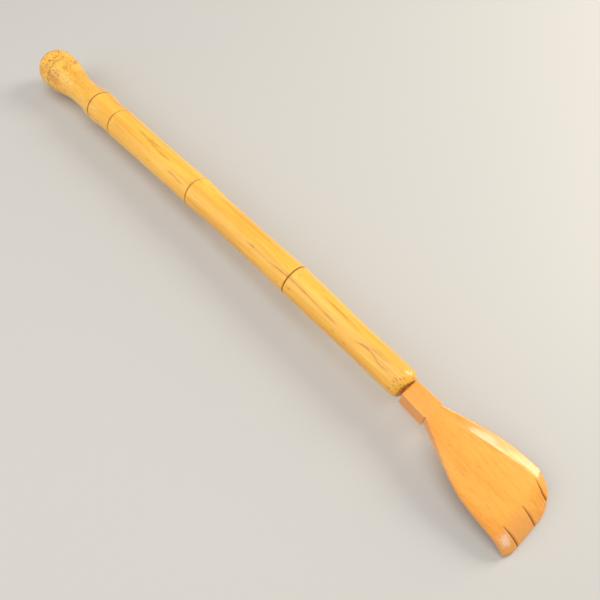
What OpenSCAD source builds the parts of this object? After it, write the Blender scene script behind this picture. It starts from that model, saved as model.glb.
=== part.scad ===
// Bamboo back scratcher lying on a table, back of the hand up.
// +X runs from the knob to the finger ends, +Z is up, and the origin is under the
// middle of its footprint. It touches the table with its knob and its four finger ends.
// All sizes are in millimetres.

/* [Knob and neck] */
// Diameter of the root knob
knob_d = 24.8; // [22:0.1:30]
// Distance from the knob's end to its widest place
knob_cap_l = 11; // [9:0.5:16]
// Distance from the knob's end to the narrowest place of the neck
knob_l = 41.4; // [34:0.2:56]
// Diameter of the neck
neck_d = 16.9; // [13:0.1:20]

/* [Culm] */
// Distance from the neck to the first node
neck_to_a = 20.1; // [14:0.1:28]
// Length of the first internode
internode_ab = 21.3; // [14:0.1:40]
// Length of the second internode
internode_bc = 76; // [50:0.5:110]
// Length of the third internode
internode_cd = 80.2; // [60:0.1:110]
// Length from the last node to the head end
internode_head = 78; // [50:0.5:110]
// Diameter of the culm at the first node
node_a_d = 19.9; // [18:0.1:24]
// Diameter of the culm at the second node
node_b_d = 18.9; // [17:0.1:23]
// Diameter of the culm at the third node
node_c_d = 18.3; // [17:0.1:22]
// Diameter of the culm at the fourth node
node_d_d = 17.1; // [17:0.1:21]
// Diameter between the first two nodes
mid_ab_d = 18.5; // [16:0.1:22]
// Diameter between the second and third nodes
mid_bc_d = 18.1; // [16:0.1:22]
// Diameter of the even stretch between the third and fourth nodes
grip_d = 16.84; // [15:0.02:21]
// Length of that even stretch
grip_l = 40; // [20:1:48]
// Diameter of the culm just before its head end
head_d = 15.7; // [13.5:0.1:19]
// Length over which the head end is rounded off
head_round_l = 7; // [4:0.5:10]
// Diameter of the flat left on the head end
head_flat_d = 8.8; // [8.4:0.1:11]
// Turn of the culm at the third node, seen from above
kink_c = 0.77; // [0:0.01:2]
// Turn of the culm at the fourth node, seen from above
kink_d = 0.98; // [0:0.01:2]
// Depth of the scar line at each node
scar_depth = 0.45; // [0.2:0.05:0.8]
// Half width of the scar line at each node
scar_half_w = 0.7; // [0.4:0.05:1.2]
// Diameter of the natural hollow inside the internodes
hollow_d = 4.4; // [2:0.1:5]
// Thickness of the natural wall that closes the hollow at each node
diaphragm_t = 3; // [2:0.5:6]

/* [Joint] */
// Diameter of the dowel that joins the handle and the hand
dowel_d = 5.6; // [4.6:0.1:6.6]
// Depth of the dowel in the handle
dowel_in_handle = 20; // [12:0.5:30]
// Depth of the dowel in the hand
dowel_in_hand = 11; // [8:0.5:13]
// Radial room for glue between the dowel and its bores
glue_film = 0.15; // [0.05:0.05:0.3]
// Room left at the bottom of each bore
bore_relief = 0.8; // [0.3:0.1:2]
// Gap between the handle and the hand, at its narrow left side
joint_gap = 0.3; // [0.2:0.1:2]
// Diameter of the ring of glue in that gap
glue_ring_d = 8.6; // [7.4:0.1:9.4]
// Slant of the handle's end face, seen from above
end_slant = 9; // [0:0.5:12]

/* [Hand] */
// Width and height of the cuff at the handle's end
cuff_w = 10.2; // [9.6:0.1:13]
// Widening of the cuff towards the hand, all on its right side
cuff_flare = 0.75; // [0:0.05:2]
// Length of the cuff
cuff_l = 13.9; // [13.9:0.1:20]
// Rounding of the cuff's long edges
cuff_edge_r = 0.5; // [0.3:0.1:1.5]
// How far the cuff sits to the right of the handle's axis
cuff_side = 0.9; // [0:0.05:1]
// How far the cuff sits below the handle's axis
cuff_drop = 1.0; // [0:0.1:1]
// Depth from the middle of the cuff to the finger ends
hand_drop = 14.9; // [13:0.1:20]
// Length from the cuff to the finger ends
hand_l = 60.8; // [52:0.2:76]
// Length of the bent fingers, seen from above
finger_l = 10.8; // [8:0.2:16]
// Reach of the hand's root to the left of the cuff's middle
root_left = 3.6; // [3.2:0.1:5]
// Reach of the hand's root to the right of the cuff's middle
root_right = 5.3; // [3.2:0.1:6]
// How much each side widens near the root, per millimetre
flare_slope = 0.44; // [0.36:0.01:0.6]
// Reach of the hand to the left of the cuff's middle
hand_left = 18.1; // [16.5:0.05:22]
// Reach of the hand to the right of the cuff's middle
hand_right = 19.5; // [16.5:0.05:23]
// Radius of the rounded corner beside the first finger
corner_r = 16; // [12:0.5:19]
// Thickness of the hand where it leaves the cuff
root_t = 6.5; // [5:0.1:8]
// Thickness of the palm
palm_t = 4.0; // [3:0.1:5]
// Thickness at the hand's side edges
edge_t = 2.0; // [1.4:0.1:3]
// How much the back falls towards its sides
crown = 2.2; // [0.5:0.1:3]
// Fall of the back between the cuff and the knuckles, per millimetre
back_slope = 0.18; // [0.08:0.01:0.2]
// Height of the finger ends' upper edge above the table
tip_h = 3.4; // [2.4:0.1:4.5]
// Depth of the grooves between the fingers, at their ends
groove_depth = 1.1; // [0.5:0.1:1.6]
// Width of the grooves between the fingers, at their ends
groove_w = 1.5; // [0.8:0.1:2]

/* [Hidden] */
$fn = 64;
bamboo = [0.93, 0.66, 0.30];
bamboo_pale = [0.95, 0.70, 0.36];
dowel_brown = [0.80, 0.58, 0.32];
glue_brown = [0.62, 0.33, 0.12];
head_blunt = 2.6;        // exponent of the rounded head end: 2 is an ellipse, more is blunter
knob_blunt = 2.15;       // the same for the knob's end
overlap = 1;             // how far cutters and cores run past a face
ridge_rise = 0.25;       // height of the ridge on the head side of each scar
ridge_reach = 3.5;       // how far that ridge spreads along the culm
core_gap = 0.1;          // how far the cores inside the nodes stay under the scars

// Places along the culm, from the knob's end
ring_k = knob_cap_l + 7.5;
node_a = knob_l + neck_to_a;
node_b = node_a + internode_ab;
node_c = node_b + internode_bc;

// The culm bends at two nodes; these are its three directions, seen from above
turn_1 = (kink_c * internode_cd + (kink_c + kink_d) * internode_head)
    / (node_c - knob_cap_l + internode_cd + internode_head);
turn_2 = turn_1 - kink_c;
turn_3 = turn_2 - kink_d;
reach_c = (node_c - knob_cap_l) * [cos(turn_1), sin(turn_1)];
reach_d = reach_c + internode_cd * [cos(turn_2), sin(turn_2)];
reach_h = reach_d + internode_head * [cos(turn_3), sin(turn_3)];

// The slanted end face starts here, behind the head end's left side
end_back = head_flat_d / 2 * tan(end_slant);

// Heights when the scratcher lies on its knob and its finger ends
knob_z = knob_d / 2;
head_z = hand_drop + cuff_drop;
tilt = asin((head_z - knob_z) / reach_h.x);
head = [knob_cap_l + reach_h.x * cos(tilt), reach_h.y, head_z];
cuff_start = [head.x + joint_gap, head.y - cuff_side, hand_drop];
root_x = cuff_start.x + cuff_l;
total_l = root_x + hand_l;
middle = [total_l / 2, cuff_start.y + (hand_left - hand_right) / 2, 0];

// The hand's back: height at the cuff, at the knuckles and slope of the fingers
root_top = cuff_start.z + cuff_w / 2 - 0.15;
knuckle_x = hand_l - finger_l;
finger_drop = root_top - tip_h - back_slope * hand_l;
finger_bend = 1.8;                   // exponent of the fingers' fall: 1 is straight, more is rounder
corner_y = hand_left - corner_r;
side_slope = 0.045;                  // how much each side still widens past its shoulder, per millimetre
shoulder_soft = 1.75;                // length over which the shoulders are rounded
groove_y = [10.5, -0.9, -12.4];      // from the cuff's middle, left is positive
tip_round = 2;                       // rounding of the last finger's corner

function smooth(t) = let (c = min(max(t, 0), 1)) c * c * (3 - 2 * c);
function blend(a, b, t) = a + (b - a) * smooth(t);
function bump(x, at, reach) = abs(x - at) >= reach ? 0 : pow(cos(90 * (x - at) / reach), 2);
function scar(x, at) = abs(x - at) >= scar_half_w ? 0
    : scar_depth * cos(90 * (x - at) / scar_half_w);
function node_shape(x, at) = ridge_rise * bump(x, at + 1.5, ridge_reach) - scar(x, at);
function round_off(t, blunt) = pow(max(1 - pow(min(max(t, 0), 1), blunt), 0), 1 / blunt);

// Radius of the root stretch: knob, neck and the first two nodes
function root_r(x) =
    (x < knob_cap_l ? knob_d / 2 * round_off((knob_cap_l - x) / knob_cap_l, knob_blunt)
    : x < knob_l ? blend(knob_d, neck_d, (x - knob_cap_l - 2) / (knob_l - knob_cap_l - 2)) / 2
    : x < node_a ? blend(neck_d, node_a_d, (x - knob_l - 5) / (node_a - knob_l - 7)) / 2
    : x < node_b ? blend(blend(node_a_d, mid_ab_d, 2 * (x - node_a) / internode_ab),
        node_b_d, 2 * (x - node_a) / internode_ab - 1) / 2
    : blend(blend(node_b_d, mid_bc_d, 2 * (x - node_b) / internode_bc),
        node_c_d, 2 * (x - node_b) / internode_bc - 1) / 2)
    + node_shape(x, node_a) + node_shape(x, node_b) - scar(x, node_c)
    - 0.6 * scar(x, ring_k);
// Radius of the third internode, from the third node on
function mid_r(x) =
    (x < internode_cd / 2 ? blend(node_c_d, grip_d, x / (internode_cd - grip_l) * 2)
    : blend(grip_d, node_d_d, 1 - (internode_cd - x) / (internode_cd - grip_l) * 2)) / 2
    + node_shape(x, 0) - scar(x, internode_cd);
// Radius of the last internode, from the fourth node to the head end
round_start = internode_head - head_round_l
    * pow(1 - pow(head_flat_d / head_d, head_blunt), 1 / head_blunt);
function head_r(x) = x < round_start
    ? blend(node_d_d, head_d, x / (0.6 * internode_head)) / 2 + node_shape(x, 0)
    : head_d / 2 * round_off((x - round_start) / head_round_l, head_blunt);

// Sample places: even steps, with finer ones across each scar
function steps(a, b, n) = [for (i = [0 : n]) a + (b - a) * i / n];
function across(at) = steps(at - scar_half_w, at + scar_half_w, 6);
function cap_steps(l) = [for (i = [0 : 16]) l * (1 - cos(90 * i / 16))];
root_x_list = concat(cap_steps(knob_cap_l),
    steps(knob_cap_l + 1, ring_k - 2 * scar_half_w, 4), across(ring_k),
    steps(ring_k + 2 * scar_half_w, node_a - 2 * scar_half_w, 24), across(node_a),
    steps(node_a + 2 * scar_half_w, node_b - 2 * scar_half_w, 12), across(node_b),
    steps(node_b + 2 * scar_half_w, node_c - 2 * scar_half_w, 22),
    steps(node_c - scar_half_w, node_c, 3));
grip_a = (internode_cd - grip_l) / 2;
mid_x_list = concat(steps(0, scar_half_w, 3), steps(2 * scar_half_w, grip_a, 12),
    steps(internode_cd - grip_a, internode_cd - 2 * scar_half_w, 8),
    steps(internode_cd - scar_half_w, internode_cd, 3));
head_x_list = concat(steps(0, scar_half_w, 3), steps(2 * scar_half_w, round_start, 16),
    [for (i = [1 : 12]) round_start + (internode_head - round_start) * sin(90 * i / 12)]);

// Frames along the culm: the children's X axis is the culm's axis
module at_root() {
    translate([knob_cap_l, 0, knob_z]) rotate([0, -tilt, 0]) rotate([0, 0, turn_1])
        translate([-knob_cap_l, 0, 0]) children();
}
module at_node_c() {
    at_root() translate([node_c, 0, 0]) rotate([0, 0, -kink_c]) children();
}
module at_node_d() {
    at_node_c() translate([internode_cd, 0, 0]) rotate([0, 0, -kink_d]) children();
}
module at_head() {
    at_node_d() translate([internode_head, 0, 0]) children();
}
module rod(d, from, to) {
    translate([from, 0, 0]) rotate([0, 90, 0]) cylinder(d = d, h = to - from);
}
module turned(points) {
    rotate([0, 90, 0]) rotate_extrude() polygon(points);
}
module centred() {
    translate(-middle) children();
}

module root_stretch() {
    turned(concat([for (x = root_x_list) [root_r(x), x]], [[0, node_c]]));
    rod(2 * (root_r(node_c) - core_gap), node_c - overlap, node_c + overlap);
}
module mid_stretch() {
    turned(concat([[0, 0]], [for (x = mid_x_list) [mid_r(x), x]], [[0, internode_cd]]));
    rod(2 * (mid_r(internode_cd) - core_gap), internode_cd - overlap, internode_cd + overlap);
}
module head_stretch() {
    turned(concat([[0, 0]], [for (x = head_x_list) [head_r(x), x]], [[0, internode_head]]));
}
// Natural hollow of one internode, closed by a diaphragm at each node
module hollow(length) {
    rod(hollow_d, diaphragm_t / 2, length - diaphragm_t / 2);
}
module handle_culm() {
    color(bamboo) centred() difference() {
        union() {
            at_root() root_stretch();
            at_node_c() mid_stretch();
            at_node_d() head_stretch();
        }
        at_root() translate([node_b, 0, 0]) hollow(internode_bc);
        at_node_c() hollow(internode_cd);
        at_node_d() rod(hollow_d, diaphragm_t / 2, internode_head);
        at_head() rod(dowel_d + 2 * glue_film, -dowel_in_handle - bore_relief, overlap);
        past_end_face();
    }
}
// Everything past the handle's end face, which is cut a little out of square
module past_end_face() {
    at_head() translate([-end_back, 0, 0]) rotate([0, 0, -end_slant])
        translate([0, -head_d, -head_d]) cube([head_round_l, 2 * head_d, 2 * head_d]);
}

module joining_dowel() {
    color(dowel_brown) centred() at_head()
        rod(dowel_d, -dowel_in_handle, joint_gap + dowel_in_hand);
}

// Dried glue: a film along the dowel in both bores and a ring in the gap
module glue_ring() {
    color(glue_brown) centred() difference() {
        union() {
            at_head() rod(dowel_d + 2 * glue_film, -dowel_in_handle, joint_gap + dowel_in_hand);
            intersection() {
                past_end_face();
                at_head() rod(glue_ring_d, -2 * end_back - overlap, joint_gap + overlap);
                translate([cuff_start.x - head_round_l, head.y - head_d, 0])
                    cube([head_round_l, 2 * head_d, 2 * head_z]);
            }
        }
        at_head() rod(dowel_d, -dowel_in_handle - overlap, joint_gap + dowel_in_hand + overlap);
    }
}

// Side curve of the hand: a straight flare that turns softly into a straight side at a shoulder
function side(x, length, root, reach) = let (far = reach - side_slope * (length - x))
    far - shoulder_soft * ln(1 + exp((far - root - flare_slope * x) / shoulder_soft));
function left_side(u) = side(u * (hand_l - corner_r), hand_l - corner_r, root_left, hand_left);
function right_side(u) = side(u * hand_l, hand_l, root_right, hand_right);
// Finger ends: a straight edge on the right, then a quarter circle to the left side
function end_point(v) = v < 0
    ? [hand_l - tip_round * pow(max(0, -v - 0.8) / 0.2, 2),
        corner_y + v * (hand_right + corner_y)]
    : [hand_l - corner_r + corner_r * cos(90 * v), corner_y + corner_r * sin(90 * v)];
function plan(u, v) = let (e = end_point(v), w = (e.y + hand_right) / (hand_left + hand_right))
    [u * e.x, -right_side(u) * (1 - w) + left_side(u) * w, w];
// Height of the back: an even fall to the knuckles, then the fingers bend down in a power curve
function back_z(x) = root_top - back_slope * x
    - finger_drop * pow(max(x - knuckle_x, 0) / finger_l, finger_bend);
function side_fall(w, x) = crown * smooth(x / (0.6 * hand_l))
    * (pow(abs(2 * w - 1), 3) + 0.35 * pow(max(2 * w - 1, 0), 2));
// How steeply the back falls, and how much more height the same thickness takes there
function back_fall(x) = back_slope + finger_drop * finger_bend / finger_l
    * pow(max(x - knuckle_x, 0) / finger_l, finger_bend - 1);
function stretch(x) = sqrt(1 + pow(back_fall(x), 2));
function thickness(w, x) = let (t = blend(root_t, palm_t, x / (0.5 * hand_l)))
    stretch(x) * (t - (t - blend(root_t, edge_t, x / (0.4 * hand_l))) * pow(abs(2 * w - 1), 4));
function top_h(u, v) = let (p = plan(u, v)) max(back_z(p.x) - side_fall(p.z, p.x), edge_t / 2);
// The grooves run from nothing at the knuckles to full depth at the finger ends
function groove_at(x) = groove_depth * min(max((x - knuckle_x) / (0.5 * finger_l), 0), 1);
function top_point(u, v) = let (p = plan(u, v))
    [p.x, p.y, top_h(u, v) - (is_groove(v) ? groove_at(p.x) : 0)];
function under_point(u, v) = let (p = plan(u, v))
    [p.x, p.y, max(top_h(u, v) - thickness(p.z, p.x), 0)];

// Places across the hand, from -1 at its right side to 1 at its left, with each groove's two
// edges and its bottom among them
function v_of(y) = y < corner_y ? (y - corner_y) / (hand_right + corner_y)
    : asin((y - corner_y) / corner_r) / 90;
function is_groove(v) = len([for (y = groove_y) if (v == v_of(y)) y]) > 0;
function near_groove(v) = len([for (y = groove_y)
    if (v > v_of(y - groove_w) && v < v_of(y + groove_w)) y]) > 0;
groove_vs = [for (i = [len(groove_y) - 1 : -1 : 0])
    each [v_of(groove_y[i] - groove_w / 2), v_of(groove_y[i]), v_of(groove_y[i] + groove_w / 2)]];
even_vs = [for (v = steps(-1, 1, 24)) if (!near_groove(v)) v];
function between(list, low, high) = [for (v = list) if (v >= low && v < high) v];
vs = [each between(even_vs, -2, groove_vs[0]), each [groove_vs[0], groove_vs[1], groove_vs[2]],
    each between(even_vs, groove_vs[2], groove_vs[3]), each [groove_vs[3], groove_vs[4], groove_vs[5]],
    each between(even_vs, groove_vs[5], groove_vs[6]), each [groove_vs[6], groove_vs[7], groove_vs[8]],
    each between(even_vs, groove_vs[8], 2)];

// The open hand as one closed skin: back, underside and a band around the edge
module palm_and_fingers() {
    nu = 26;
    nv = len(vs) - 1;
    row = nv + 1;
    count = (nu + 1) * row;
    us = [for (i = [0 : nu]) let (t = i / nu) 1 - pow(1 - t, 1.3)];
    top = [for (u = us) for (v = vs) top_point(u, v)];
    under = [for (u = us) for (v = vs) under_point(u, v)];
    function id(i, j) = i * row + j;
    back = [for (i = [0 : nu - 1]) for (j = [0 : nv - 1])
        each [[id(i, j), id(i, j + 1), id(i + 1, j + 1)], [id(i, j), id(i + 1, j + 1), id(i + 1, j)]]];
    belly = [for (f = back) [f[0] + count, f[2] + count, f[1] + count]];
    rim = concat([for (j = [0 : nv]) id(0, j)], [for (i = [1 : nu]) id(i, nv)],
        [for (j = [1 : nv]) id(nu, nv - j)], [for (i = [1 : nu - 1]) id(nu - i, 0)]);
    n = len(rim);
    band = [for (k = [0 : n - 1]) let (a = rim[k], b = rim[(k + 1) % n])
        each [[a, a + count, b + count], [a, b + count, b]]];
    polyhedron(concat(top, under), concat(back, belly, band), convexity = 6);
}
// Square bar with rounded long edges, widening to the right while its left side stays straight
module cuff() {
    widen = (cuff_w + cuff_flare) / cuff_w;
    translate([0, cuff_w / 2, 0]) rotate([90, 0, 90])
        linear_extrude(height = cuff_l, scale = [widen, 1], slices = 1) translate([-cuff_w / 2, 0])
            offset(r = cuff_edge_r, $fn = 16) square(cuff_w - 2 * cuff_edge_r, center = true);
}
module hand() {
    color(bamboo_pale) centred() difference() {
        union() {
            translate(cuff_start) cuff();
            translate([root_x, cuff_start.y, 0]) palm_and_fingers();
        }
        at_head() rod(dowel_d + 2 * glue_film, -overlap, joint_gap + dowel_in_hand + bore_relief);
    }
}

handle_culm();
hand();
joining_dowel();
glue_ring();
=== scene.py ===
import math

import bpy
import numpy as np
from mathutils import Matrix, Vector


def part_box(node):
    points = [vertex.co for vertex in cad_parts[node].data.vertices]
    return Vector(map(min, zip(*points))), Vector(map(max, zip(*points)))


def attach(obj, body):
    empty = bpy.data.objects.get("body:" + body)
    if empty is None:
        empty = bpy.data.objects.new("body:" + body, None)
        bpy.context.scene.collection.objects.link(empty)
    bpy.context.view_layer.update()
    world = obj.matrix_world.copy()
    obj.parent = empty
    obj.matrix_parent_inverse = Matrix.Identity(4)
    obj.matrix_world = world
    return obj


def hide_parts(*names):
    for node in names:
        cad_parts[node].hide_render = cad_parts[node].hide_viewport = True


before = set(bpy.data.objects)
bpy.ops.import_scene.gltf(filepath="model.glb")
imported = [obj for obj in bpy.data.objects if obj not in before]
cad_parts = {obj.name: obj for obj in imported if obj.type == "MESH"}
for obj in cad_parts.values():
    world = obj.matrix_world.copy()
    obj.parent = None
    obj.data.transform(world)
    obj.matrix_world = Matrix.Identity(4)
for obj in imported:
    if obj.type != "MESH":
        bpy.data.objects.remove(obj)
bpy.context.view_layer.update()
mm = 0.001                                # sizes below are in millimetres, meshes in metres


def boxInMm(node):
    low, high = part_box(node)
    return np.array(low) / mm, np.array(high) / mm


handleLow = boxInMm("handle_culm")[0]
handHigh = boxInMm("hand")[1]


def soft(t):                              # eases from 0 to 1 as t goes from 0 to 1
    t = np.clip(t, 0, 1)
    return t * t * (3 - 2 * t)


def blend(a, b, t):
    return a + (b - a) * soft(t)


def ramp(x, reach):                       # 0 below zero, then rises like x, rounded over reach
    return reach * np.logaddexp(0, x / reach)


def bell(x, width):
    return np.exp(-(x / width) ** 2)


def roundOff(t, blunt):                   # quarter of a superellipse: 1 at t = 0, 0 at t = 1
    return np.clip(1 - np.clip(t, 0, 1) ** blunt, 0, 1) ** (1 / blunt)


# Sum of slow sine waves along s and around the axis: unevenness, never a random draw
def uneven(s, angle, size, phase):
    return size * (np.sin(s / 13.1 + phase + np.sin(angle + phase)) * 0.5
                   + np.sin(s / 5.3 + 2 * angle + 2.1 * phase) * 0.3
                   + np.sin(s / 29.0 + 3 * angle - phase) * 0.2)


# Quads of a grid of points, rows by columns; either direction can close on itself
def gridFaces(rows, columns, closeRows=False, closeColumns=False):
    i = np.arange(rows if closeRows else rows - 1)
    j = np.arange(columns if closeColumns else columns - 1)
    i, j = np.meshgrid(i, j, indexing="ij")
    nextI, nextJ = (i + 1) % rows, (j + 1) % columns
    corners = [i * columns + j, nextI * columns + j, nextI * columns + nextJ, i * columns + nextJ]
    return np.stack(corners, -1).reshape(-1, 4)


# Triangles between one pole point and a closed ring of points that starts at first
def fanFaces(pole, first, count, flip=False):
    j = np.arange(count)
    ring, nextRing = first + j, first + (j + 1) % count
    pair = [nextRing, ring] if flip else [ring, nextRing]
    return np.stack([np.full(count, pole), *pair], -1).tolist()


# Puts points and faces into a mesh object; attributes are one number per point
def makePiece(name, points, faces, material, node, attributes=None):
    mesh = bpy.data.meshes.new(name)
    mesh.from_pydata((points * mm).tolist(), [], faces)
    mesh.validate()
    for key, values in (attributes or {}).items():
        layer = mesh.attributes.new(key, "FLOAT", "POINT")
        layer.data.foreach_set("value", np.asarray(values, np.float32).ravel())
    mesh.polygons.foreach_set("use_smooth", np.ones(len(mesh.polygons), bool))
    piece = bpy.data.objects.new(name, mesh)
    bpy.context.scene.collection.objects.link(piece)
    mesh.materials.append(material)
    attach(piece, "root")
    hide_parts(node)
    print(f"{name}: {len(points)} points, {len(mesh.polygons)} faces")
    return piece


# A socket that can be used in sums; each operator adds its Math node
class Link:
    def __init__(self, paint, socket):
        self.paint, self.socket = paint, socket

    def math(self, operation, *others):
        return self.paint.add("ShaderNodeMath", {"operation": operation}, [self, *others])

    def __add__(self, other):
        return self.math("ADD", other)

    def __radd__(self, other):
        return self.math("ADD", other)

    def __sub__(self, other):
        return self.math("SUBTRACT", other)

    def __rsub__(self, other):
        return self.paint.add("ShaderNodeMath", {"operation": "SUBTRACT"}, [other, self])

    def __mul__(self, other):
        return self.math("MULTIPLY", other)

    def __rmul__(self, other):
        return self.math("MULTIPLY", other)

    def __pow__(self, other):
        return self.math("POWER", other)


# A new material, with one method that adds any node
class Paint:
    def __init__(self, name):
        self.material = bpy.data.materials.new(name)
        self.material.use_nodes = True
        self.tree = self.material.node_tree
        self.shader = self.tree.nodes["Principled BSDF"]

    def put(self, socket, value):
        if isinstance(value, Link):
            self.tree.links.new(value.socket, socket)
        else:
            socket.default_value = value

    # settings are set before the values; values are a list, or a dictionary by socket name or index
    def add(self, kind, settings=None, values=(), out=0):
        node = self.tree.nodes.new(kind)
        for key, value in (settings or {}).items():
            if key == "stops":
                for k, (at, colour) in enumerate(value):
                    stop = node.color_ramp.elements[k] if k < 2 else node.color_ramp.elements.new(at)
                    stop.position, stop.color = at, colour
            else:
                setattr(node, key, value)
        for key, value in (values.items() if isinstance(values, dict) else enumerate(values)):
            self.put(node.inputs[key], value)
        return Link(self, node.outputs[out])

    def between(self, value, low, high):  # 0 at low, 1 at high, smooth in between
        return self.add("ShaderNodeMapRange", {"interpolation_type": "SMOOTHSTEP"},
                        {0: value, 1: low, 2: high, 3: 0.0, 4: 1.0})

    def mixed(self, share, a, b):         # colour a where share is 0, b where it is 1
        return self.add("ShaderNodeMix", {"data_type": "RGBA"}, {0: share, 6: a, 7: b}, 2)

    def ramped(self, value, stops):       # the third stop lies between the first two
        return self.add("ShaderNodeValToRGB", {"stops": stops}, [value])

    # Object coordinates in millimetres, scaled per axis: small numbers stretch the pattern
    def stretched(self, x, y, z, shift=(0, 0, 0)):
        spot = self.add("ShaderNodeTexCoord", None, (), "Object")
        return self.add("ShaderNodeMapping", {"vector_type": "POINT"},
                        {0: spot, 1: shift, 3: (x / mm, y / mm, z / mm)})

    def noise(self, where, detail, rough):
        return self.add("ShaderNodeTexNoise", {"noise_dimensions": "3D"},
                        {"Vector": where, "Scale": 1.0, "Detail": detail, "Roughness": rough})

    def cells(self, where):               # distance to the nearest of many scattered points
        return self.add("ShaderNodeTexVoronoi", {"feature": "F1", "distance": "EUCLIDEAN"},
                        {"Vector": where, "Scale": 1.0, "Randomness": 1.0})

    def axis(self, where, letter):
        return self.add("ShaderNodeSeparateXYZ", None, [where], letter)

    def stored(self, key):
        return self.add("ShaderNodeAttribute", {"attribute_name": key}, (), "Fac")

    def finish(self, colour, roughness, height, bumpDistance, others=None):
        bump = self.add("ShaderNodeBump", None,
                        {"Strength": 1.0, "Distance": bumpDistance * mm, "Height": height})
        sockets = {"Base Color": colour, "Roughness": roughness, "Normal": bump, **(others or {})}
        for key, value in sockets.items():
            self.put(self.shader.inputs[key], value)
        return self.material


def rgb(r, g, b):
    return (r, g, b, 1.0)


# Bamboo handle: sizes in millimetres, angles in degrees
culm = {
    "knobD": 24.8, "knobCap": 11, "knobLength": 41.4, "neckD": 16.9, "capBlunt": 2.15,
    "neckToA": 20.1, "ab": 21.3, "bc": 76.0, "cd": 80.2, "dToHead": 78.0,
    "nodeD": (19.9, 18.9, 18.3, 17.1), "midAB": 18.5, "midBC": 18.1, "gripD": 16.84, "gripLength": 40.0,
    "headD": 15.7, "headRound": 7.0, "headFlatD": 8.8, "headBlunt": 2.6, "endSlant": 9.0,
    "turnC": 0.77, "turnD": 0.98, "scarDepth": 0.45, "scarWidth": 0.42, "ridge": 0.25,
    "boreD": 5.9, "boreDepth": 20.8, "around": 144, "step": 0.9, "leastStep": 0.03,
    # start and end in millimetres before the head end, angle, wave, its length, darkness
    "streaks": ((34, 9, 116, 6, 3.0, 1.0), (27, 12, 100, 2, 5.0, 0.7), (24, 10, 92, 2, 4.0, 0.65),
                (92, 41, 121, 3, 9.0, 0.75), (120, 86, 126, 2, 9.0, 0.55), (216, 190, 84, 2, 6.0, 0.8),
                (207, 178, 94, 3, 7.0, 0.7), (180, 160, 128, 2, 5.0, 0.6), (60, 30, 84, 2, 7.0, 0.6),
                (70, 20, 290, 4, 8.0, 0.5), (190, 120, 250, 3, 9.0, 0.45), (150, 100, 20, 3, 8.0, 0.45)),
    "streakWidth": 0.062,
}
joint = {"gap": 0.3, "cuffSide": 0.9, "cuffDrop": 1.0, "dowelD": 5.6, "inHandle": 20.0, "inHand": 11.0,
         "boreSpare": 0.8}

nodeA = culm["knobLength"] + culm["neckToA"]
nodeB = nodeA + culm["ab"]
nodeC = nodeB + culm["bc"]
nodeD = nodeC + culm["cd"]
headEnd = nodeD + culm["dToHead"]
ringK = culm["knobCap"] + 7.5
roundStart = headEnd - culm["headRound"] * roundOff(culm["headFlatD"] / culm["headD"], culm["headBlunt"])
flatR = culm["headFlatD"] / 2
slantTan = math.tan(math.radians(culm["endSlant"]))
handDrop = 14.9                            # height of the middle of the cuff above the table

# place, depth, wander, phase, darkness and width of each scar, and whether it fades on the far side
scars = (
    (ringK, 0.35, 0.35, 0.4, 0.42, 0.8, True),
    (nodeA, 1.0, 0.12, 1.1, 1.0, 0.52, False),
    (nodeB, 0.9, 0.2, 2.0, 0.9, 0.44, True),
    (nodeC, 0.9, 0.3, 2.9, 0.9, 0.44, True),
    (nodeD, 1.0, 0.25, 4.0, 1.0, 0.46, False),
)


# Centre line: three straight runs with small turns at nodes C and D, tilted so that both ends rest
def culmLine(s):
    run = np.array([nodeC - culm["knobCap"], culm["cd"], culm["dToHead"]])
    first = (culm["turnC"] * run[1] + (culm["turnC"] + culm["turnD"]) * run[2]) / run.sum()
    turns = np.radians([first, first - culm["turnC"], first - culm["turnC"] - culm["turnD"]])
    a = np.clip(s - culm["knobCap"], None, run[0])
    b = np.clip(s - nodeC, 0, run[1])
    c = np.clip(s - nodeD, 0, None)
    ahead = a * math.cos(turns[0]) + b * math.cos(turns[1]) + c * math.cos(turns[2])
    aside = a * math.sin(turns[0]) + b * math.sin(turns[1]) + c * math.sin(turns[2])
    whole = sum(run * np.cos(turns))
    tilt = math.asin((handDrop + joint["cuffDrop"] - culm["knobD"] / 2) / whole)
    heading = np.where(s < nodeC, turns[0], np.where(s < nodeD, turns[1], turns[2]))
    start = np.array([handleLow[0] + culm["knobCap"], handleLow[1] + culm["knobD"] / 2, culm["knobD"] / 2])
    line = start + np.stack([ahead * math.cos(tilt), aside, ahead * math.sin(tilt)], -1)
    forward, sideways = np.cos(heading), np.sin(heading)
    along = np.stack([forward * math.cos(tilt), sideways, forward * math.sin(tilt)], -1)
    left = np.stack([-sideways * math.cos(tilt), forward, -sideways * math.sin(tilt)], -1)
    return line, along, left, np.cross(along, left)


endPoint, endAlong, endLeft, endUp = (v[0] for v in culmLine(np.array([headEnd])))


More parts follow.
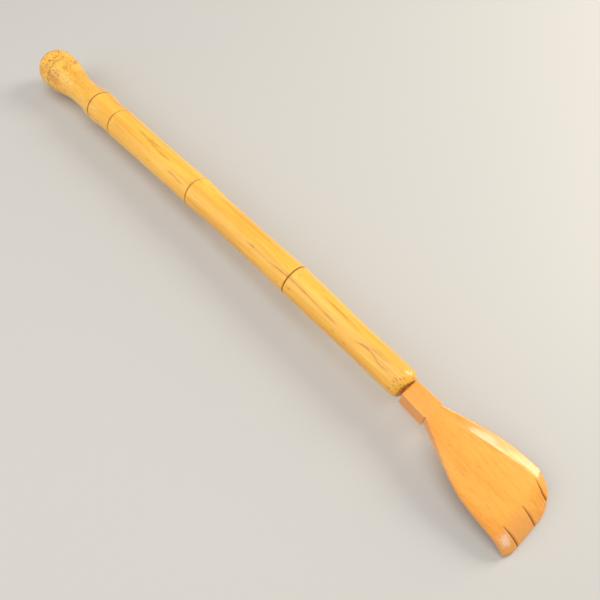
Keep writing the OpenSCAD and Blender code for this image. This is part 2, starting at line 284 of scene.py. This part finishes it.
# Radius without scars: each stretch eases from one diameter to the next
def culmRadius(s):
    c = culm
    a, b, nc, nd = c["nodeD"]
    knob = c["knobD"] * roundOff((c["knobCap"] - s) / c["knobCap"], c["capBlunt"])
    neck = blend(c["knobD"], c["neckD"], (s - c["knobCap"] - 2) / (c["knobLength"] - c["knobCap"] - 2))
    toA = blend(c["neckD"], a, (s - c["knobLength"] - 5) / (c["neckToA"] - 7))
    toB = blend(blend(a, c["midAB"], 2 * (s - nodeA) / c["ab"]), b, 2 * (s - nodeA) / c["ab"] - 1)
    toC = blend(blend(b, c["midBC"], 2 * (s - nodeB) / c["bc"]), nc, 2 * (s - nodeB) / c["bc"] - 1)
    easing = (c["cd"] - c["gripLength"]) / 2
    toD = blend(blend(nc, c["gripD"], (s - nodeC) / easing), nd, 1 - (nodeD - s) / easing)
    toHead = blend(nd, c["headD"], (s - nodeD) / (0.6 * c["dToHead"]))
    head = c["headD"] * roundOff((s - roundStart) / c["headRound"], c["headBlunt"])
    return np.select([s < c["knobCap"], s < c["knobLength"], s < nodeA, s < nodeB, s < nodeC, s < nodeD,
                      s < roundStart], [knob, neck, toA, toB, toC, toD, toHead], head) / 2


# Each scar is a narrow groove that wanders a little round the culm, with a low ridge on its head side
def scarShape(s, angle, at, wander, phase):
    off = s - at - wander * (np.sin(angle + phase) + 0.35 * np.sin(3 * angle + 2 * phase))
    return off, bell(off, culm["scarWidth"])


# Stations along the culm: close together at both rounded ends and at the scars
def culmStations():
    cap = culm["knobCap"] * (1 - np.cos(np.linspace(0, math.pi / 2, 44)))[1:]
    dome = roundStart + (headEnd - roundStart) * np.sin(np.linspace(0, math.pi / 2, 30))
    nearScars = [scar[0] + np.linspace(-1.5, 1.5, 29) for scar in scars]
    even = np.arange(culm["knobCap"], roundStart, culm["step"])
    s = np.unique(np.round(np.concatenate([cap, dome, *nearScars, even]), 3))
    return s[np.concatenate([[True], np.diff(s) > culm["leastStep"]])]


# Radius with unevenness and scars, and how dark each point is from scars and from streaks
def culmSkin(station, turn):
    body = soft(station / 6) * soft((headEnd - station) / 6)
    radius = culmRadius(station) + uneven(station, turn, 0.07, 0.7) * body
    lumps = soft(station / 8) * soft((nodeA - 6 - station) / 14)
    radius += lumps * 0.16 * (np.sin(2 * turn + station / 7.0) + 0.6 * np.sin(3 * turn - station / 4.1 + 1))
    scar = np.zeros_like(station)
    for at, depth, wander, phase, dark, width, fades in scars:
        off, groove = scarShape(station, turn, at, wander, phase)
        fade = 0.6 + 0.4 * np.cos(turn - math.radians(150)) if fades else 1.0
        ridge = culm["ridge"] * bell(off - 1.5, 1.7) + 0.1 * bell(off + 1.3, 0.9)
        radius += depth * (ridge - culm["scarDepth"] * groove)
        scar = np.maximum(scar, dark * fade * bell(off, width))
    # a shorter second scar runs slanting over one side of the knob
    slant = station - ringK - 5.2 - 2.2 * np.cos(turn - math.radians(200))
    side = soft((np.cos(turn - math.radians(215)) - 0.35) / 0.4)
    radius -= 0.14 * bell(slant, 0.5) * side
    scar = np.maximum(scar, 0.42 * bell(slant, 0.42) * side)
    # a few long dark streaks in the skin, each from one place to another at an angle, with a wave
    streak = np.zeros_like(station)
    for start, end, at, wave, length, dark in culm["streaks"]:
        wander = math.radians(wave) * np.sin((station - start) / length)
        off = (turn - math.radians(at) - wander + math.pi) % (2 * math.pi) - math.pi
        fade = soft((station - headEnd + start) / 6) * soft((headEnd - end - station) / 6)
        patchy = 0.75 + 0.25 * np.sin(station / 1.9 + at) * np.sin(station / 4.3)
        streak = np.maximum(streak, dark * patchy * fade * bell(off, culm["streakWidth"]))
    return radius, scar, streak


# Rings over the slanted end face to the dowel's bore, along it, and in over its bottom
def boreRings(angle):
    boreR, boreDepth = culm["boreD"] / 2, culm["boreDepth"]
    inward, closing = np.array([0.25, 0.5, 0.75, 1.0]), np.array([0.66, 0.33])
    deeper = np.linspace(0.05, 1, 14) * boreDepth
    onFace = flatR * (1 - inward) + boreR * inward
    reach = np.concatenate([onFace, np.full(len(deeper), boreR), boreR * closing])[:, None]
    depth = np.concatenate([np.zeros(len(onFace)), deeper, np.full(len(closing), boreDepth)])[:, None]
    back = np.where(depth < 1, (reach * np.cos(angle) - flatR) * slantTan, 0)
    out = reach[..., None] * (np.cos(angle)[:, None] * endLeft + np.sin(angle)[:, None] * endUp)
    return endPoint + out + (back - depth)[..., None] * endAlong


def buildCulm(material):
    s, count = culmStations(), culm["around"]
    angle = np.linspace(0, 2 * math.pi, count, endpoint=False)
    station, turn = np.meshgrid(s, angle, indexing="ij")
    radius, scar, streak = culmSkin(station, turn)
    line, along, left, up = (v[:, None, :] for v in culmLine(s))
    skin = line + radius[..., None] * (np.cos(turn)[..., None] * left + np.sin(turn)[..., None] * up)
    # the head end is cut on a slant: nothing stays ahead of the slanted plane
    ahead, aside = (skin - endPoint) @ endAlong, (skin - endPoint) @ endLeft
    skin -= np.maximum(ahead - (aside - flatR) * slantTan, 0)[..., None] * endAlong

    rings = boreRings(angle)
    rows = len(s) + len(rings)
    tip = culmLine(np.array([0.0]))[0]
    bottom = endPoint - culm["boreDepth"] * endAlong
    points = np.concatenate([skin.reshape(-1, 3), rings.reshape(-1, 3), tip, bottom[None]])
    faces = gridFaces(rows, count, closeColumns=True)[:, ::-1].tolist()
    faces += fanFaces(rows * count, 0, count)
    faces += fanFaces(rows * count + 1, (rows - 1) * count, count, flip=True)
    inside = len(rings) * count
    clean = np.zeros(inside + 2)
    place = np.concatenate([station.ravel(), np.full(inside, headEnd), [0.0, headEnd]])
    values = {"scar": np.concatenate([scar.ravel(), clean]),
              "streak": np.concatenate([streak.ravel(), clean]), "along": place}
    return makePiece("bambooHandle", points, faces, material, "handle_culm", values)


# Carved hand: sizes in millimetres from the cuff's front end
palm = {
    "cuffW": 10.2, "cuffFlare": 0.75, "cuffLength": 13.9, "cuffEdge": 0.5, "length": 60.8, "fingers": 10.8,
    "rootLeft": 3.6, "rootRight": 5.3, "flare": 0.44, "left": 18.1, "right": 19.5, "corner": 16.0,
    "rootThick": 6.5, "thick": 4.0, "edge": 2.0, "crown": 2.2, "slope": 0.18, "tipHeight": 3.4,
    "grooveAt": (10.5, -0.9, -12.4), "grooveStart": (48.0, 50.6, 50.2), "grooveBend": (1.5, 0.0, -0.6),
    "grooveDepth": 0.95, "across": 168, "rim": 10,
    "nose": 0.018,                        # share of the length over which the finger ends round off
    "leastThick": 0.12, "leastHeight": 0.95,
}
cuffMiddle = np.array([handHigh[0] - palm["length"] - palm["cuffLength"], 0.0, handDrop])
cuffMiddle[1] = endPoint[1] - joint["cuffSide"]
rootX = cuffMiddle[0] + palm["cuffLength"]
rootTop = handDrop + palm["cuffW"] / 2 - 0.15


# Side of the hand seen from above: a straight flare that turns softly into a straight side
def sideLine(x, length, root, reach):
    far = reach - 0.045 * (length - x)
    return far - ramp(far - root - palm["flare"] * x, 1.75)


# Finger ends: a straight edge on the right, then a quarter circle round to the left side
def endLine(v):
    r, cornerY = palm["corner"], palm["left"] - palm["corner"]
    x = np.where(v < 0, palm["length"] - 2 * np.maximum(0, (-v - 0.8) / 0.2) ** 2,
                 palm["length"] - r + r * np.cos(np.pi / 2 * v))
    y = np.where(v < 0, cornerY + v * (palm["right"] + cornerY), cornerY + r * np.sin(np.pi / 2 * v))
    return x, y


# Back height: an even fall, then the fingers bend down; the knuckle line curves back on the left
def backHeight(x, y):
    knuckle = palm["length"] - palm["fingers"] - 2.6 * np.clip(y / 18, 0, 1) ** 2
    drop = rootTop - palm["tipHeight"] - palm["slope"] * palm["length"]
    bent = ramp(x - knuckle, 0.22) / palm["fingers"]
    eased = 2.2 * (1 - np.exp(-x / 2.2)) - 2.2 * soft(x / 45)          # level where it leaves the cuff
    return rootTop - palm["slope"] * (x - eased) - drop * (0.3 * bent + 0.7 * bent ** 2.1)


# How much more height the same thickness takes where the back is steep
def steepness(x):
    drop = rootTop - palm["tipHeight"] - palm["slope"] * palm["length"]
    bent = np.clip((x - palm["length"] + palm["fingers"]) / palm["fingers"], 0, 1)
    return np.sqrt(1 + (palm["slope"] + drop * 1.8 / palm["fingers"] * bent ** 0.8) ** 2)


# Closed loop of points: the top from right to left, the left rim, the underside back, the right rim
def joinLoop(top, leftRim, under, rightRim, start):
    return np.concatenate([top, leftRim, under, rightRim]) + start


# The cuff is a rounded square bar that widens to the right towards the hand
def cuffRow(x, share, theta):
    half, edge, end = palm["cuffW"] / 2, palm["cuffEdge"], palm["cuffLength"] - 0.3
    trim = 0.22 * roundOff(x / 0.25, 2) if x < 0.25 else 0.0
    notch = 0.25 * (1 - roundOff((x - end) / 0.3, 2)) if x > end else 0.0
    right, left = half + palm["cuffFlare"] * x / palm["cuffLength"] - trim - notch, half - trim
    y = -right + (left + right) * share
    inset = np.minimum(y + right, left - y)
    dip = edge - np.sqrt(np.maximum(edge ** 2 - np.maximum(edge - inset, 0) ** 2, 0))
    high = half - trim - dip
    rimZ = (half - trim - edge) * np.cos(theta)
    top = np.stack([np.full_like(y, x), y, high], -1)
    under = np.stack([np.full_like(y, x), y[::-1], -high[::-1]], -1)
    leftRim = np.stack([np.full_like(rimZ, x), np.full_like(rimZ, left), rimZ], -1)
    rightRim = np.stack([np.full_like(rimZ, x), np.full_like(rimZ, -right), -rimZ], -1)
    return joinLoop(top, leftRim, under, rightRim, [0, 0, handDrop])


# V grooves between the fingers, with softly raised lips; also says how deep in a groove a point is, which
# sets the painted shade in the grooves
def cutGrooves(x, y, high):
    cut = np.zeros_like(x)
    for at, begin, bend in zip(palm["grooveAt"], palm["grooveStart"], palm["grooveBend"]):
        deep = soft((x - begin) / 4.5) * (0.55 + 0.45 * soft((x - begin) / 10))
        wide = 0.26 + 0.2 * soft((x - begin) / 9)
        off = y - (at + bend * (1 - soft((x - begin) / 8)))
        high = high - palm["grooveDepth"] * deep * bell(off, wide)
        cut = np.maximum(cut, soft((x - begin) / 1.5) * bell(off, 0.8 * wide))
        high = high + 0.16 * deep * (bell(off - 1.0, 0.7) + bell(off + 1.0, 0.7))
    return high, cut


# The plate is made of rays from the cuff out to the finger ends; step is the share of the way
def plateRow(step, endX, w, theta):
    p = palm
    x, far = step * endX, p["length"] - p["corner"]
    leftY = sideLine(step * far, far, p["rootLeft"], p["left"])
    rightY = sideLine(step * p["length"], p["length"], p["rootRight"], p["right"])
    # the cuff's left side ends a little later
    leftY += (p["cuffW"] / 2 - leftY) * (1 - soft((step * p["length"] - 0.9) / 0.6))
    y = -rightY * (1 - w) + leftY * w
    spread = soft(x / (0.6 * p["length"]))
    thickness = blend(p["rootThick"], p["thick"], x / (0.5 * p["length"]))
    edge = blend(p["rootThick"], p["edge"], x / (0.4 * p["length"]))
    thickness = (thickness - (thickness - edge) * np.abs(2 * w - 1) ** 4) * steepness(x)
    roll = 0.085 * ramp(y - 4.2, 1.0) + 0.42 * ramp(y - (leftY - 4.4), 0.35)
    fall = spread * (p["crown"] * np.clip(1 - 2 * w, 0, 1) ** 3 + roll)
    high = np.maximum(backHeight(x, y) - fall + 0.15 * (1 - soft(x / 6)), p["leastHeight"])
    low = np.maximum(high - thickness, 0.0)
    high, cut = cutGrooves(x, y, high)
    # round the skin's own edge: the last half millimetre turns down to the rim
    rim = min(0.5, 0.5 * float(edge.min()))
    inset = np.minimum(y + rightY, leftY - y)
    high = high - rim * (1 - np.sqrt(np.clip(1 - np.clip(1 - inset / rim, 0, 1) ** 2, 0, 1)))
    # the finger ends are rounded down to almost nothing
    least, nose = p["leastThick"], p["nose"]
    high = low + least + (high - low - least) * roundOff((step - 1 + nose) / nose, 2.6)
    top = np.stack([x, y, high], -1)
    under = np.stack([x, y, low], -1)[::-1]
    down = ((1 - np.cos(theta)) / 2)[:, None]
    leftRim = top[-1] + (under[0] - top[-1]) * down
    rightRim = under[-1] + (top[0] - under[-1]) * down
    return joinLoop(top, leftRim, under, rightRim, [p["cuffLength"], 0, 0]), cut


# Faces that close the finger ends: one row between the back's edge and the underside's, and two rims
def endFaces(last):
    n, rim = palm["across"], palm["rim"]
    top = last + np.arange(n)
    under = last + n + rim + np.arange(n)[::-1]
    row = np.stack([top[:-1], top[1:], under[1:], under[:-1]], -1).tolist()
    leftFan = [top[-1], *(last + n + np.arange(rim)), under[-1]]
    rightFan = [under[0], *(last + 2 * n + rim + np.arange(rim)), top[0]]
    return row + [[int(k) for k in fan[::-1]] for fan in (leftFan, rightFan)]


def buildHand(material):
    p = palm
    t = np.linspace(-1, 1, p["across"])
    v = 0.72 * t + 0.28 * np.sin(np.pi / 2 * t)         # closer together towards both sides
    theta = np.linspace(0, math.pi, p["rim"] + 2)[1:-1]
    cuffX = np.concatenate([[0, 0.08, 0.25], np.linspace(0.6, p["cuffLength"] - 0.3, 24),
                            [p["cuffLength"] - 0.12, p["cuffLength"] - 0.03]])
    cuffLoops = [cuffRow(x, (v + 1) / 2, theta) for x in cuffX]
    nose = p["nose"]
    steps = np.concatenate([[0.0, 0.004], np.linspace(0.012, 0.8, 112), np.linspace(0.804, 1 - nose, 52),
                            1 - nose + nose * np.sin(np.linspace(0, math.pi / 2, 19))[1:]])
    endX, endY = endLine(v)
    w = (endY + p["right"]) / (p["left"] + p["right"])
    plateLoops, cuts = zip(*(plateRow(step, endX, w, theta) for step in steps))
    skin = np.stack([*cuffLoops, *plateLoops]) + [cuffMiddle[0], cuffMiddle[1], 0]
    count = skin.shape[1]

    # the cuff's end face goes in to the dowel's bore, which closes at its bottom
    boreR, boreDepth = culm["boreD"] / 2, joint["inHand"] + joint["boreSpare"]
    first = skin[0] - endPoint
    around = np.arctan2(first[:, 2], first[:, 1])
    circle = np.stack([np.zeros(count), boreR * np.cos(around), boreR * np.sin(around)], -1) + endPoint
    circle[:, 0] = cuffMiddle[0]
    inner = [skin[0] * (1 - t) + circle * t for t in (0.2, 0.4, 0.6, 0.8, 1.0)]
    inner += [circle + [d, 0, 0] for d in np.linspace(0.4, boreDepth, 10)]
    bottom = np.array([cuffMiddle[0] + boreDepth, endPoint[1], endPoint[2]])
    rows = len(inner) + len(skin)
    points = np.concatenate([*inner[::-1], skin.reshape(-1, 3), bottom[None]])
    faces = gridFaces(rows, count, closeColumns=True).tolist()
    faces += fanFaces(rows * count, 0, count, flip=True)
    faces += endFaces((rows - 1) * count)
    cutRows = [np.concatenate([cut, np.zeros(count - p["across"])]) for cut in cuts]
    clean = np.zeros((len(inner) + len(cuffLoops)) * count)
    # this attribute marks where the grooves get painted shade
    values = {"cut": np.concatenate([clean, *cutRows, [0.0]])}
    return makePiece("carvedHand", points, faces, material, "hand", values)


# Profile carried round the joint's axis: distances along the axis and radii; swell then moves the points
def roundPiece(name, alongAxis, radii, count, material, node, closed, swell):
    angle = np.linspace(0, 2 * math.pi, count, endpoint=False)
    depth, turn = np.meshgrid(np.array(alongAxis, float), angle, indexing="ij")
    reach = np.repeat(np.array(radii, float)[:, None], count, 1)
    depth, reach = swell(depth, reach, turn)
    points = (endPoint + depth[..., None] * endAlong + (reach * np.cos(turn))[..., None] * endLeft
              + (reach * np.sin(turn))[..., None] * endUp).reshape(-1, 3)
    rows = len(alongAxis)
    faces = gridFaces(rows, count, closeRows=closed, closeColumns=True)[:, ::-1].tolist()
    if not closed:
        poles = endPoint + np.array([[alongAxis[0]], [alongAxis[-1]]]) * endAlong
        points = np.concatenate([points, poles])
        faces += fanFaces(rows * count, 0, count)
        faces += fanFaces(rows * count + 1, (rows - 1) * count, count, flip=True)
    return makePiece(name, points, faces, material, node)


dowel = {"edge": 0.6, "nearEdge": 0.45, "flutes": 14, "fluteDepth": 0.03}
glue = {"film": 0.14, "collar": 3.55, "waist": 0.55, "bead": 1.9, "beadTurn": 0.55, "beadWidth": 0.16,
        "back": -1.39}                     # where the slanted end face is furthest back


def buildDowel(material):
    r, a, b = joint["dowelD"] / 2, -joint["inHandle"], joint["gap"] + joint["inHand"]
    along = np.concatenate([[a, a + 0.15, a + 0.7], np.linspace(a + 1.5, b - 1.5, 44),
                            [b - 0.7, b - 0.15, b]])
    radii = np.full(len(along), r)
    radii[[0, -1]], radii[[1, -2]] = r - dowel["edge"], r - dowel["nearEdge"]

    def flutes(depth, reach, turn):       # shallow flat strips left by the drawing plate
        strips = dowel["fluteDepth"] * (1 + np.cos(dowel["flutes"] * turn))
        return depth, reach - strips * (reach > r - 0.1)
    return roundPiece("joiningDowel", along, radii, 84, material,
                      "joining_dowel", False, flutes)


# A film along the dowel, and a ring with a waist and a bead where the glue was squeezed into the gap
def buildGlue(material):
    inner = joint["dowelD"] / 2
    start, end, gap, back = -joint["inHandle"], joint["gap"] + joint["inHand"], joint["gap"], glue["back"]
    outerX = np.concatenate([[start, start + 0.1], np.linspace(start + 1, back - 0.4, 12),
                             np.linspace(back, gap, 22), np.linspace(gap + 0.4, end - 0.1, 10), [end]])
    innerX = np.linspace(end, start, 26)
    inGap = (outerX >= back - 0.01) & (outerX <= gap + 0.01)
    ringPart = np.concatenate([inGap, np.zeros(len(innerX), bool)])[:, None]
    radii = np.concatenate([np.full(len(outerX), inner + glue["film"]), np.full(len(innerX), inner)])

    def beads(depth, reach, turn):
        t = np.clip((depth - back) / (gap - back), 0, 1)
        face = (flatR * np.cos(turn) - flatR) * slantTan
        collar = glue["collar"] + 0.28 * np.sin(2 * turn + 0.6) + 0.16 * np.sin(5 * turn + 1.7)
        collar += 0.09 * np.sin(9 * turn)
        off = (turn + math.pi) % (2 * math.pi) - math.pi - glue["beadTurn"]
        bulge = (glue["bead"] * bell(off, glue["beadWidth"]) - glue["waist"]) * np.sin(np.pi * t)
        return np.where(ringPart, face + (gap - face) * t, depth), np.where(ringPart, collar + bulge, reach)
    return roundPiece("driedGlue", np.concatenate([outerX, innerX]), radii, 160, material,
                      "glue_ring", True, beads)


def varnishedCulm():
    paint = Paint("varnishedCulm")
    cloud = paint.noise(paint.stretched(0.012, 0.09, 0.09), 3.0, 0.55)
    streak = paint.noise(paint.stretched(0.018, 0.75, 0.75, (3, 1, 7)), 4.0, 0.6)
    fine = paint.noise(paint.stretched(0.05, 2.6, 2.6, (5, 2, 1)), 3.0, 0.6)
    colour = paint.ramped(cloud, [(0.3, rgb(0.76, 0.35, 0.036)), (0.7, rgb(0.94, 0.56, 0.085)),
                                  (0.5, rgb(0.87, 0.46, 0.055))])
    colour = paint.mixed(paint.between(streak, 0.52, 0.72) * 0.55, colour, rgb(0.98, 0.63, 0.12))
    colour = paint.mixed(paint.between(streak, 0.46, 0.30) * 0.45, colour, rgb(0.60, 0.25, 0.022))
    colour = paint.mixed(paint.between(fine, 0.60, 0.74) * 0.35, colour, rgb(0.44, 0.17, 0.015))
    along = paint.stored("along")
    # root knob: darker mottling and fibre bundle dots that thin out towards the neck
    onKnob = paint.between(along, 52.0, 16.0)
    mottle = paint.noise(paint.stretched(0.12, 0.17, 0.17, (2, 4, 4)), 3.0, 0.6)
    mottling = paint.between(mottle, 0.48, 0.66) * onKnob * 0.65
    colour = paint.mixed(mottling, colour, rgb(0.57, 0.23, 0.035))
    dots = paint.cells(paint.stretched(0.42, 0.95, 0.95))
    few = paint.noise(paint.stretched(0.14, 0.2, 0.2, (9, 3, 3)), 2.0, 0.5)
    knobDots = paint.between(dots, 0.40, 0.24) * paint.between(few, 0.30, 0.50) * onKnob
    colour = paint.mixed(knobDots * 0.85, colour, rgb(0.25, 0.10, 0.012))
    # a belt of cut fibre ends on the rounded head end
    onBelt = paint.between(along, headEnd - 7.5, headEnd - 5.2) * paint.between(along, headEnd, headEnd - 0.6)
    belt = paint.cells(paint.stretched(0.66, 1.15, 1.15, (4, 4, 2)))
    headDots = paint.between(belt, 0.38, 0.22) * onBelt * paint.between(few, 0.40, 0.52)
    colour = paint.mixed(headDots * 0.8, colour, rgb(0.22, 0.08, 0.010))
    # short dark flecks along the long internodes
    fleck = paint.cells(paint.stretched(0.11, 0.52, 0.52, (7, 1, 9)))
    some = paint.noise(paint.stretched(0.03, 0.25, 0.25, (1, 8, 5)), 2.0, 0.5)
    flecks = paint.between(fleck, 0.22, 0.10) * paint.between(some, 0.50, 0.60)
    colour = paint.mixed(flecks * 0.55, colour, rgb(0.40, 0.16, 0.02))
    longStreaks = paint.stored("streak") * paint.between(fine, 0.3, 0.5)
    colour = paint.mixed(longStreaks, colour, rgb(0.36, 0.13, 0.012))
    scar = paint.stored("scar")
    colour = paint.mixed(scar, colour, rgb(0.20, 0.075, 0.008))
    height = 0.5 + streak * 0.16 + fine * 0.10 - (knobDots + headDots + flecks) * 0.35
    roughness = 0.36 + fine * 0.14 + onKnob * 0.06 + scar * 0.35
    coat = {"Coat Weight": 0.42 * (1 - scar), "Coat Roughness": 0.18, "Specular IOR Level": 0.4}
    return paint.finish(colour, roughness, height, 0.22, coat)


def varnishedHand():
    paint = Paint("varnishedHand")
    cloud = paint.noise(paint.stretched(0.014, 0.07, 0.07, (1, 6, 2)), 3.0, 0.5)
    grain = paint.noise(paint.stretched(0.03, 0.85, 0.5, (4, 2, 1)), 4.0, 0.62)
    fine = paint.noise(paint.stretched(0.07, 2.9, 1.4, (8, 5, 3)), 3.0, 0.6)
    colour = paint.ramped(cloud, [(0.32, rgb(0.77, 0.28, 0.032)), (0.68, rgb(0.90, 0.41, 0.062)),
                                  (0.5, rgb(0.85, 0.345, 0.045))])
    colour = paint.mixed(paint.between(grain, 0.52, 0.70) * 0.5, colour, rgb(0.94, 0.46, 0.09))
    colour = paint.mixed(paint.between(grain, 0.47, 0.32) * 0.5, colour, rgb(0.68, 0.25, 0.025))
    colour = paint.mixed(paint.between(fine, 0.56, 0.68) * 0.5, colour, rgb(0.50, 0.18, 0.018))
    cut = paint.stored("cut")
    # painted sheen: the finger ends are a paler pinkish tone over a matte finish, with one whitish painted
    # highlight on the last finger
    spot = paint.add("ShaderNodeTexCoord", None, (), "Object")
    x = paint.axis(spot, "X") * (1 / mm) - rootX
    y = paint.axis(spot, "Y") * (1 / mm) - cuffMiddle[1]
    speck = paint.noise(paint.stretched(0.9, 0.9, 0.9), 3.0, 0.6)
    matteAndSheen = paint.between(x + speck * 2, 50.0, 54.5) * paint.between(y, 4.0, -3.0)
    colour = paint.mixed(matteAndSheen * 0.6, colour, rgb(0.80, 0.36, 0.085))
    # painted highlight: a whitish spot on the rougher wood of the last finger
    away = ((x - 55.2) * (x - 55.2) + (y + 15.8) * (y + 15.8)) ** 0.5
    highlightSpot = paint.between(away + (speck - 0.5) * 6.0, 3.4, 0.6)
    colour = paint.mixed(highlightSpot * 0.85, colour, rgb(0.90, 0.60, 0.42))
    # painted shade: the left flank is a deeper orange up to the facet
    flankShade = paint.between(y - x * 0.108, 3.1, 3.7) * paint.between(x, 6.0, 10.0)
    flankShade = flankShade * paint.between(x, 32.0, 27.0)
    colour = paint.mixed(flankShade * 0.55, colour, rgb(0.80, 0.27, 0.020))
    # painted shade: the grooves between the fingers are darkened
    colour = paint.mixed(cut * 0.85, colour, rgb(0.22, 0.06, 0.004))
    height = 0.5 + grain * 0.16 + fine * 0.10 + (matteAndSheen + highlightSpot) * speck * 0.3
    roughness = 0.28 + fine * 0.12 + matteAndSheen * 0.22 + highlightSpot * 0.2
    coat = {"Coat Weight": 0.5 * (1 - cut), "Coat Roughness": 0.12, "Specular IOR Level": 0.4}
    return paint.finish(colour, roughness, height, 0.18, coat)


def bareDowel():
    paint = Paint("bareDowel")
    grain = paint.noise(paint.stretched(0.05, 1.4, 1.4), 4.0, 0.6)
    colour = paint.mixed(paint.between(grain, 0.35, 0.65), rgb(0.40, 0.17, 0.045), rgb(0.62, 0.33, 0.10))
    return paint.finish(colour, 0.55 + grain * 0.1, grain, 0.15)


def glueWithGapShade():
    paint = Paint("glueWithGapShade")
    lumps = paint.noise(paint.stretched(0.5, 0.5, 0.5), 4.0, 0.6)
    # dark reddish brown: the glue's own colour together with painted shade of the narrow gap between handle
    # and cuff
    colour = paint.mixed(paint.between(lumps, 0.38, 0.62), rgb(0.33, 0.105, 0.018), rgb(0.62, 0.25, 0.05))
    # thin whitish bead that was squeezed out at the top left of the joint
    where = paint.axis(paint.stretched(1, 1, 1), "Y")
    pale = paint.between(where, endPoint[1] + 3.9, endPoint[1] + 4.7)
    colour = paint.mixed(pale, colour, rgb(0.86, 0.62, 0.50))
    return paint.finish(colour, 0.32 + lumps * 0.2, lumps, 0.3)


buildCulm(varnishedCulm())
buildHand(varnishedHand())
buildDowel(bareDowel())
buildGlue(glueWithGapShade())

stage = {"floorSize": 3.0, "floorColour": 0.52, "skyStrength": 0.42, "skyColour": (1.0, 0.96, 0.90, 1)}

# Lamps: place and target in metres, then disc size, power and colour
lamps = {
    "roomLamp": ((0.22, 0.75, 0.55), (0.05, 0, 0), 0.42, 5.0, (1.0, 0.92, 0.78)),
    "ceilingLamp": ((0.0, 0.0, 1.3), (0, 0, 0), 1.0, 6.5, (1.0, 0.97, 0.92)),
    "fillLamp": ((-0.3, -0.8, 0.65), (0, 0, 0), 1.3, 6.5, (1.0, 0.95, 0.88)),
    "lowLamp": ((0.40, 0.87, 0.19), (0.17, 0.01, 0.01), 0.3, 2.3, (1.0, 0.90, 0.66)),
}


def buildFloor():
    half = stage["floorSize"] / 2
    corners = [(-half, -half, 0), (half, -half, 0), (half, half, 0), (-half, half, 0)]
    mesh = bpy.data.meshes.new("floor")
    mesh.from_pydata(corners, [], [(0, 1, 2, 3)])
    floor = bpy.data.objects.new("floor", mesh)
    bpy.context.scene.collection.objects.link(floor)
    paint = Paint("paleFloor")
    paint.put(paint.shader.inputs["Base Color"], rgb(*[stage["floorColour"]] * 3))
    paint.put(paint.shader.inputs["Roughness"], 0.6)
    mesh.materials.append(paint.material)


def addLamp(name, place, target, size, power, colour):
    lamp = bpy.data.lights.new(name, "AREA")
    lamp.shape, lamp.size, lamp.energy, lamp.color = "DISK", size, power, colour
    holder = bpy.data.objects.new(name, lamp)
    bpy.context.scene.collection.objects.link(holder)
    aim = np.array(target, float) - np.array(place, float)
    x, y, z = aim / np.linalg.norm(aim)
    holder.location = place
    holder.rotation_euler = (math.acos(-z), 0, math.atan2(-x, y) if abs(x) + abs(y) > 1e-6 else 0)


buildFloor()
for lampName, values in lamps.items():
    addLamp(lampName, *values)
world = bpy.data.worlds.new("room")
world.use_nodes = True
sky = world.node_tree.nodes["Background"]
sky.inputs["Color"].default_value = stage["skyColour"]
sky.inputs["Strength"].default_value = stage["skyStrength"]
bpy.context.scene.world = world
bpy.context.scene.view_settings.view_transform = "Standard"      # keeps the varnish's full colour

view = {"place": (161.3, -101.8, 257.8), "turn": 47.46, "down": 58.85, "lens": 34.5}
cameraData = bpy.data.cameras.new("viewer")
cameraData.lens, cameraData.sensor_width = view["lens"], 36
cameraData.clip_start = 0.01
viewer = bpy.data.objects.new("viewer", cameraData)
bpy.context.scene.collection.objects.link(viewer)
viewer.location = [c * mm for c in view["place"]]
viewer.rotation_euler = (math.radians(90 - view["down"]), 0, math.radians(view["turn"]))
bpy.context.scene.camera = viewer
print("floor, lamps and camera are in place")
